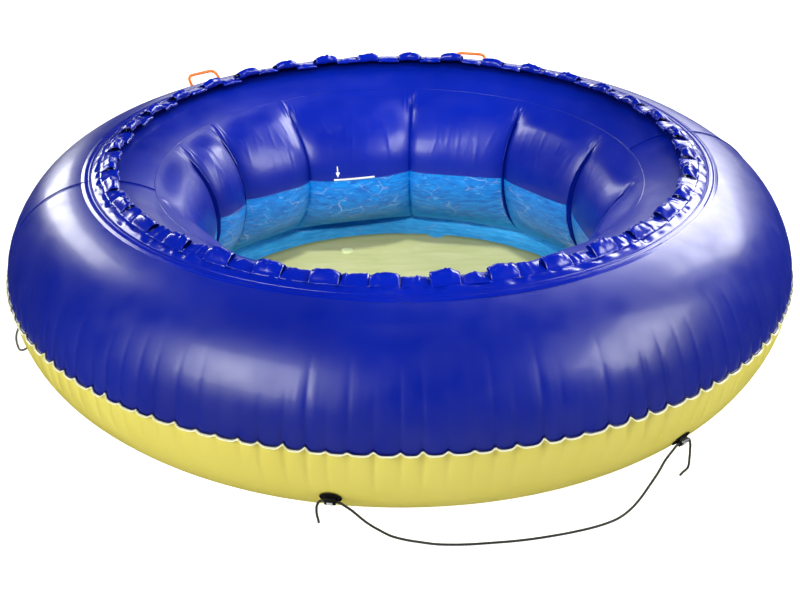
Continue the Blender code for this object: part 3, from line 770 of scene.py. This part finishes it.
def flap_weld(blue):
    """The flat weld round the flap's foot, with two embossed lines."""
    azimuth = np.linspace(0, 360, 720, endpoint=False)
    outline = []
    profile = ((0.814, -0.0004), (0.8175, 0.0012), (0.8188, 0.0022), (0.8205, 0.0025), (0.8222, 0.0020),
               (0.824, 0.0012), (0.830, 0.0012), (0.8314, 0.0020), (0.833, 0.0023), (0.8346, 0.0018),
               (0.836, 0.0010), (0.841, 0.0009), (0.8425, -0.0004))
    for radius, lift in profile:
        angle = math.degrees(math.acos((radius - TOP_RADIUS) / (OUTER_RADIUS - TOP_RADIUS)))
        height = section(angle)[1] + lift
        outline.append((radius + 0 * azimuth, height + 0 * azimuth))
    closed_band("flap_weld_line", outline[::-1], blue, azimuth, "flap_weld_strip")


# Marks on the wall


def wall_mark(panels, name, outline_rows, white):
    """A thin print just proud of the pool's wall, from rows of (azimuth, height) points."""
    rows = []
    for row in outline_rows:
        azimuth = np.array([a for a, _ in row])
        height = np.array([h for _, h in row])
        angle = 180 - np.degrees(np.arcsin((height - SEAM_HEIGHT) / (TOP_HEIGHT - SEAM_HEIGHT)))
        rows.append(on_skin(azimuth, angle, panels.out(azimuth, angle) + 0.0008))
    points = np.stack(rows)
    add_mesh(name, points, grid_faces(*points.shape[:2]).tolist(), white)


def level_marks(panels, white):
    """The fill level: a line near the bottom of the blue wall and an arrow that points down to it."""
    steps = np.linspace(-170.4, -154.9, 40)
    line = [[(a, 0.2655 + rise) for a in steps] for rise in (0, 0.0025, 0.005)]
    wall_mark(panels, "level_line", line, white)
    middle, half = -156.3, 0.45
    stem = [(0.281, half * 0.45), (0.290, half * 0.45), (0.302, half * 0.45)]
    head = [(0.2745, 0.02), (0.2805, half * 0.9), (0.2865, half * 1.7), (0.2875, half * 0.5)]
    for name, widths in (("level_arrow_head", head), ("level_arrow_stem", stem)):
        sides = (-1, -0.5, 0, 0.5, 1)
        rows = [[(middle + side * width, height) for side in sides] for height, width in widths]
        wall_mark(panels, name, rows, white)


# Round things


def lathe(name, profile, place, surface, stands_for, segments=64):
    """A turned piece round its own Z: profile is (radius, height) from the foot of the outside to the top."""
    turns = np.linspace(0, math.tau, segments, endpoint=False)
    rows = [[place @ Vector((r * math.cos(t), r * math.sin(t), h)) for t in turns] for r, h in profile]
    points = [tuple(point) for row in rows for point in row]
    faces = grid_faces(len(profile), segments, wrap=True).tolist()
    faces.append(list(range(segments))[::-1])
    last = (len(profile) - 1) * segments
    faces.append([last + i for i in range(segments)])
    add_mesh(name, points, faces, surface, stands_for, sharp=40)


def frame_on_skin(azimuth, angle, lift=0.0):
    """A matrix on the skin: X along the ring, Y up the section, Z out of the skin."""
    here = Vector(on_skin(azimuth, angle).tolist())
    along = Vector((math.cos(math.radians(azimuth)), math.sin(math.radians(azimuth)), 0))
    up = Vector((on_skin(azimuth, angle + 0.5) - on_skin(azimuth, angle - 0.5)).tolist()).normalized()
    out = along.cross(up).normalized()
    return Matrix.Translation(here + out * lift) @ Matrix((along, up, out)).transposed().to_4x4()


def rounded_block(name, size, centre, place, surface, bevel):
    bm = bmesh.new()
    bmesh.ops.create_cube(bm, size=1, matrix=Matrix.Translation(centre) @ Matrix.Diagonal((*size, 1)))
    bmesh.ops.bevel(bm, geom=bm.edges[:], offset=bevel, segments=4, profile=0.5, affect="EDGES")
    bmesh.ops.transform(bm, matrix=place, verts=bm.verts)
    mesh = bpy.data.meshes.new(name)
    bm.to_mesh(mesh)
    bm.free()
    add_piece(name, mesh, surface)


def bridge_points():
    """The bridge's arch across the bore, (across, up), outside then bore, in matching order."""
    turns = np.linspace(-0.5 * math.pi, 1.5 * math.pi, 41)[:-1]
    bore = [(0.0048 * math.cos(t), BORE_HEIGHT + 0.0048 * math.sin(t)) for t in turns]
    outside = []
    for t in turns:
        c, s = math.cos(t), math.sin(t)
        reach = 1 / max(abs(c) / 0.0088, abs(s) / (0.0088 if s < 0 else 0.0070))
        square = (reach * c, BORE_HEIGHT + reach * s)
        rounded = (0.0098 * c, BORE_HEIGHT + 0.0074 * s)
        outside.append(tuple(0.72 * a + 0.28 * b for a, b in zip(square, rounded)))
    return outside, bore


def rope_fitting(name, azimuth, black, reflection_grey):
    """A round welded base with a stepped rim, and a bridge over the rope's bore whose flat top carries a
    glossy pale grey block; that pale colour is a painted reflection.
    """
    place = frame_on_skin(azimuth, FITTING_ANGLE, 0.0003)
    profile = [(0.0255, 0.0), (0.0257, 0.0010), (0.0250, 0.0021), (0.0236, 0.0026), (0.0205, 0.0027),
               (0.0195, 0.0036), (0.0183, 0.0040), (0.0150, 0.0041), (0.0140, 0.0033), (0.0040, 0.0033)]
    node = (f"rope_fitting_{name}",)
    lathe(f"fitting_base_{name}", profile, place, black, node)
    outside, bore = bridge_points()
    count = len(bore)
    half = BRIDGE_LENGTH / 2
    rows = [(bore, -half), (outside, -half + 0.0006), (outside, half - 0.0006), (bore, half)]
    points = [tuple(place @ Vector((x, y, z))) for line, x in rows for y, z in line]
    faces = grid_faces(4, count, wrap=True, wrap_rows=True)[:, ::-1].tolist()
    add_mesh(f"fitting_bridge_{name}", points, faces, black, node, sharp=35)
    # The cap's pale grey is a painted reflection of the lights on the bridge's glossy black top
    size, centre, bevel = (0.0130, 0.0120, 0.0016), (0, 0, 0.0163), 0.0004
    rounded_block(f"fitting_reflection_cap_{name}", size, centre, place, reflection_grey, bevel)


# Ropes

ROPE_SPACING = 0.0165
ROPE_ROUTES = {
    "rope_front": ("front_left", 1, [
        (-0.110, -1.013, 0.088), (-0.089, -1.010, 0.064), (-0.069, -1.008, 0.044), (-0.047, -1.005, 0.026),
        (-0.023, -1.005, 0.011), (0.008, -1.009, 0.0035), (0.044, -1.018, 0.003), (0.084, -1.026, 0.003),
        (0.140, -1.027, 0.003), (0.196, -1.022, 0.003), (0.254, -1.015, 0.003), (0.311, -1.004, 0.003),
        (0.382, -0.985, 0.003), (0.445, -0.962, 0.003), (0.492, -0.937, 0.004), (0.524, -0.911, 0.009),
        (0.550, -0.887, 0.022), (0.575, -0.864, 0.045), (0.598, -0.842, 0.068), (0.616, -0.821, 0.087),
    ], ("front_right", -1)),
    "rope_rear": ("left", -1, [
        (-0.989, -0.232, 0.088), (-1.001, -0.220, 0.066), (-1.016, -0.204, 0.044), (-1.034, -0.182, 0.025),
        (-1.053, -0.151, 0.010), (-1.070, -0.109, 0.003), (-1.081, -0.074, 0.003), (-1.087, -0.035, 0.003),
        (-1.086, 0.020, 0.003), (-1.077, 0.085, 0.003), (-1.062, 0.155, 0.003), (-1.040, 0.230, 0.003),
        (-1.008, 0.310, 0.003), (-0.965, 0.395, 0.003), (-0.915, 0.475, 0.003), (-0.862, 0.550, 0.003),
        (-0.812, 0.615, 0.004), (-0.773, 0.662, 0.012), (-0.741, 0.699, 0.030), (-0.712, 0.729, 0.055),
        (-0.686, 0.753, 0.082),
    ], ("rear_left", 1)),
    "tail_front_left": ("front_left", -1, [
        (-0.178, -1.004, 0.1065), (-0.184, -1.003, 0.099), (-0.187, -1.001, 0.084), (-0.187, -0.998, 0.066),
        (-0.185, -0.992, 0.048), (-0.184, -0.986, 0.034),
    ], None),
    "tail_front_right": ("front_right", 1, [
        (0.679, -0.761, 0.1065), (0.683, -0.7595, 0.098), (0.685, -0.759, 0.084), (0.686, -0.757, 0.068),
        (0.688, -0.752, 0.050), (0.689, -0.746, 0.032), (0.691, -0.741, 0.018), (0.688, -0.740, 0.0075),
        (0.682, -0.743, 0.0035), (0.675, -0.751, 0.003), (0.667, -0.762, 0.003),
    ], None),
    "tail_left": ("left", 1, [
        (-0.9795, -0.2855, 0.1065), (-0.977, -0.291, 0.098), (-0.974, -0.293, 0.083),
        (-0.970, -0.293, 0.066), (-0.967, -0.292, 0.050), (-0.964, -0.290, 0.034),
    ], None),
    "tail_rear_left": ("rear_left", -1, [
        (-0.6245, 0.8062, 0.1065), (-0.620, 0.808, 0.098), (-0.6175, 0.807, 0.083), (-0.615, 0.803, 0.066),
        (-0.613, 0.799, 0.050), (-0.612, 0.795, 0.034),
    ], None),
}


def bore_mouth(name, side, reach=BRIDGE_LENGTH / 2):
    """The middle of a fitting's bore at one mouth: side 1 is towards a growing azimuth."""
    return frame_on_skin(FITTINGS[name], FITTING_ANGLE, 0.0003) @ Vector((side * reach, 0, BORE_HEIGHT))


def smooth_route(points, spacing):
    """Points an even distance apart on a smooth curve through the route's own points."""
    ends = [points[0] * 2 - points[1], *points, points[-1] * 2 - points[-2]]
    fine = []
    for before, here, there, after in zip(ends, ends[1:], ends[2:], ends[3:]):
        for step in range(12):
            t = step / 12
            fine.append(0.5 * (2 * here + (there - before) * t
                               + (2 * before - 5 * here + 4 * there - after) * t**2
                               + (3 * here - before - 3 * there + after) * t**3))
    fine.append(points[-1])
    walked = [0.0]
    for a, b in zip(fine, fine[1:]):
        walked.append(walked[-1] + (b - a).length)
    count = max(4, round(walked[-1] / spacing))
    wanted = [walked[-1] * step / count for step in range(count + 1)]
    columns = [np.interp(wanted, walked, [point[axis] for point in fine]) for axis in range(3)]
    return np.array(list(zip(*columns)))


def twisted_rope(name, route, surface, node):
    """Three strands laid round each other, as one tube whose section turns along the route."""
    sides, pitch = 18, 0.0155
    ahead = np.gradient(route, axis=0)
    ahead /= np.linalg.norm(ahead, axis=1)[:, None]
    walked = np.concatenate([[0], np.cumsum(np.linalg.norm(np.diff(route, axis=0), axis=1))])
    side = np.cross(ahead[0], (0, 0, 1.0))
    side /= np.linalg.norm(side)
    rows = []
    turns = np.linspace(0, math.tau, sides, endpoint=False)
    for point, direction, distance in zip(route, ahead, walked):
        side = side - direction * (side @ direction)
        side /= np.linalg.norm(side)
        other = np.cross(direction, side)
        from_end = min(distance, walked[-1] - distance)
        taper = 0.55 + 0.45 * min(1.0, from_end / 0.0016)
        strands = np.abs(np.cos(1.5 * turns - math.pi * 3 * distance / pitch))
        radius = taper * ROPE_DIAMETER / 2 * (0.90 + 0.10 * strands)
        around = np.cos(turns)[:, None] * side + np.sin(turns)[:, None] * other
        rows.append(point + radius[:, None] * around)
    points = np.stack(rows)
    faces = grid_faces(len(route), sides, wrap=True)[:, ::-1].tolist()
    faces.append(list(range(sides)))
    faces.append([len(route) * sides - 1 - i for i in range(sides)])
    return add_mesh(name, points, faces, surface, (node,))


def ropes(black):
    inner = BRIDGE_LENGTH / 2 - 0.007
    outer = BRIDGE_LENGTH / 2 + 0.004
    for name, (start, side, middle, end) in ROPE_ROUTES.items():
        points = [bore_mouth(start, side, inner), bore_mouth(start, side, outer), *map(Vector, middle)]
        if end:
            points += [bore_mouth(*end, outer), bore_mouth(*end, inner)]
        coarse = smooth_route(points, ROPE_SPACING)
        fine = smooth_route([Vector(point) for point in coarse], 0.0018)
        rope = twisted_rope(name + "_cord", fine, black, name)


# Handles


def rounded_loop(corners, radii, steps):
    points = []
    for i, (corner, radius) in enumerate(zip(corners, radii)):
        here = Vector((*corner, 0))
        before = (Vector((*corners[i - 1], 0)) - here).normalized()
        after = (Vector((*corners[(i + 1) % len(corners)], 0)) - here).normalized()
        for step in range(steps):
            t = step / (steps - 1)
            points.append(here + radius * (before * (1 - t) ** 2 + after * t**2))
    return points


def handle_loop(side, place, orange):
    """The moulded D loop, a round bar with a faint parting line along its outside."""
    half = HANDLE_WIDTH / 2 - HANDLE_BAR / 2
    lean = 0.006
    corners = [(-half, 0), (half, 0), (half - lean, HANDLE_HEIGHT), (-half + lean, HANDLE_HEIGHT)]
    sparse = rounded_loop(corners, (0.008, 0.008, 0.020, 0.020), 12)
    centre = []
    for a, b in zip(sparse, sparse[1:] + sparse[:1]):
        pieces = max(1, round((b - a).length / 0.006))
        centre += [a.lerp(b, step / pieces) for step in range(pieces)]
    sides = 20
    upright = Matrix((Vector((1, 0, 0)), Vector((0, 0, 1)), Vector((0, -1, 0)))).transposed().to_4x4()
    rows = []
    for i, point in enumerate(centre):
        ahead = (centre[(i + 1) % len(centre)] - centre[i - 1]).normalized()
        across = ahead.cross(Vector((0, 0, 1)))
        row = []
        for k in range(sides):
            turn = math.tau * k / sides
            radius = HANDLE_BAR / 2 * (1 + (0.05 if k in (0, sides // 2) else 0))
            row.append(tuple(place @ upright @ (point + radius * (across * math.cos(turn)
                                                                  + Vector((0, 0, 1)) * math.sin(turn)))))
        rows.append(row)
    faces = grid_faces(len(rows), sides, wrap=True, wrap_rows=True).tolist()
    add_mesh(f"handle_{side}_bar", rows, faces, orange, (f"handle_loop_{side}",),
             body=f"handle_{side}")


def handle_strap(side, place, blue):
    """The strap that holds the bar: an arch with two feet and embossed weld lines along them."""
    wall = STRAP_WALL
    floor = -HANDLE_LIFT + 0.0028
    outer = HANDLE_BAR / 2 + 0.0010 + wall
    foot = outer + 0.013
    turns = np.linspace(0, math.pi, 21)
    over = [(foot, floor + 0.0006), (foot - 0.001, floor + wall)]
    for centre in (0.009, 0.004):
        over += [(outer + centre + 0.0012, floor + wall), (outer + centre, floor + wall + 0.0007),
                 (outer + centre - 0.0012, floor + wall)]
    over += [(outer + 0.0006, floor + wall)]
    over += [(outer * math.cos(t), max(outer * math.sin(t), floor + wall)) for t in turns]
    over += [(-y, z) for y, z in over[:8][::-1]]
    rows = []
    end = STRAP_LENGTH / 2
    for x in (-end, -end + 0.0008, *np.linspace(-end + 0.004, end - 0.004, 16), end - 0.0008, end):
        woven = [(y, z + 0.00025 * math.sin(x * 700 + y * 200)) for y, z in over]
        rows.append([tuple(place @ Vector((x, y, z))) for y, z in woven])
    faces = grid_faces(len(rows), len(over))[:, ::-1].tolist()
    made = add_mesh(f"handle_{side}_strap", rows, faces, blue, (f"handle_tunnel_{side}",))
    thicken(made, wall, -1)


def handle_patch(side, azimuth, blue):
    """The welded plate under the strap, with a rounded outline and a raised border."""
    across = np.linspace(-1, 1, 41)
    up = np.linspace(-1, 1, 25)
    x, y = np.meshgrid(across, up)
    edge = np.maximum(np.abs(x), np.abs(y))
    angle_of = np.arctan2(y, x)
    corner = (np.abs(np.cos(angle_of)) ** 6 + np.abs(np.sin(angle_of)) ** 6) ** (-1 / 6)
    square = 1 / np.maximum(np.abs(np.cos(angle_of)), np.abs(np.sin(angle_of)))
    x, y = x * corner / square, y * corner / square
    radius = float(section(HANDLE_ANGLE)[0])
    turn = azimuth + np.degrees(x * 0.085 / radius)
    angle = HANDLE_ANGLE + np.degrees(y * 0.040 / 0.25)
    height = 0.0024 - 0.0030 * smooth_step(edge, 0.955, 1.0)
    height = height + 0.0009 * np.exp(-((edge - 0.86) / 0.035) ** 2)
    points = on_skin(turn, angle, height)
    faces = grid_faces(len(up), len(across)).tolist()
    add_mesh(f"handle_{side}_plate", points, faces, blue, (f"handle_patch_{side}",))


def handles(blue, orange):
    for side, azimuth in HANDLES.items():
        place = frame_on_skin(azimuth, HANDLE_ANGLE, HANDLE_LIFT)
        handle_patch(side, azimuth, blue)
        handle_strap(side, place, blue)
        handle_loop(side, place, orange)


# Valve and drain


def finish_cad_nodes(surfaces):
    """The CAD nodes that stay in view get their detailed material."""
    for node, surface in surfaces.items():
        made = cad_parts[node]
        made.data.materials.clear()
        made.data.materials.append(surface)


def build():
    add_camera()
    black_cord = cord_black()
    ropes(black_cord)
    blue = pvc("blue_vinyl", (0.0002, 0.0068, 0.195, 1), (0.0003, 0.0092, 0.24, 1), 0.36)
    flap_blue = pvc("flap_vinyl", (0.0003, 0.0072, 0.23, 1), (0.0004, 0.0095, 0.29, 1), 0.22)
    # A dark navy copy of the blue vinyl for the flange's upper lip: painted shade
    painted_shade_navy = pvc("flange_painted_shade_navy", (0.0005, 0.0015, 0.05, 1), (0.0008, 0.003, 0.08, 1), 0.4)
    yellow = pvc("yellow_vinyl", (0.57, 0.495, 0.078, 1), (0.61, 0.54, 0.092, 1), 0.38)
    cream = pvc("flange_cream", (0.80, 0.80, 0.52, 1), (0.85, 0.85, 0.60, 1), 0.35)
    black = moulded("fitting_black", (0.006, 0.006, 0.007, 1), 0.2)
    # Pale grey for the fitting caps: a painted reflection on a glossy black face
    reflection_grey = moulded("fitting_painted_reflection", (0.55, 0.56, 0.58, 1), 0.12)
    orange = moulded("handle_orange", (0.96, 0.22, 0.02, 1), 0.28)
    white = moulded("valve_white", (0.78, 0.78, 0.76, 1), 0.3)
    pale = moulded("drain_pale", (0.70, 0.76, 0.40, 1), 0.35)
    puckers = Puckers()
    panels = Panels()
    upper_skin(puckers, blue)
    lower_skin(puckers, yellow)
    seam_flange(puckers, painted_shade_navy, cream)
    inner_wall(panels, blue)
    printed_wall(panels, water_print())
    floor_disc(sand_print())
    seam_lines(panels, blue)
    joint_strips(puckers, blue, yellow)
    sleeve_flap(flap_blue)
    flap_weld(flap_blue)
    level_marks(panels, white)
    for name, azimuth in FITTINGS.items():
        rope_fitting(name, azimuth, black, reflection_grey)
    handles(blue, orange)
    whites = ("valve_flange", "valve_body", "valve_insert", "valve_lid", "valve_hinge_block")
    finish_cad_nodes({node: white for node in whites})
    finish_cad_nodes({"valve_flap": black, "drain_seat": pale, "drain_plug": pale})
    finish_cad_nodes({node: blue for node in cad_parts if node.startswith("web_")})
    add_stage()
    add_lights()


build()
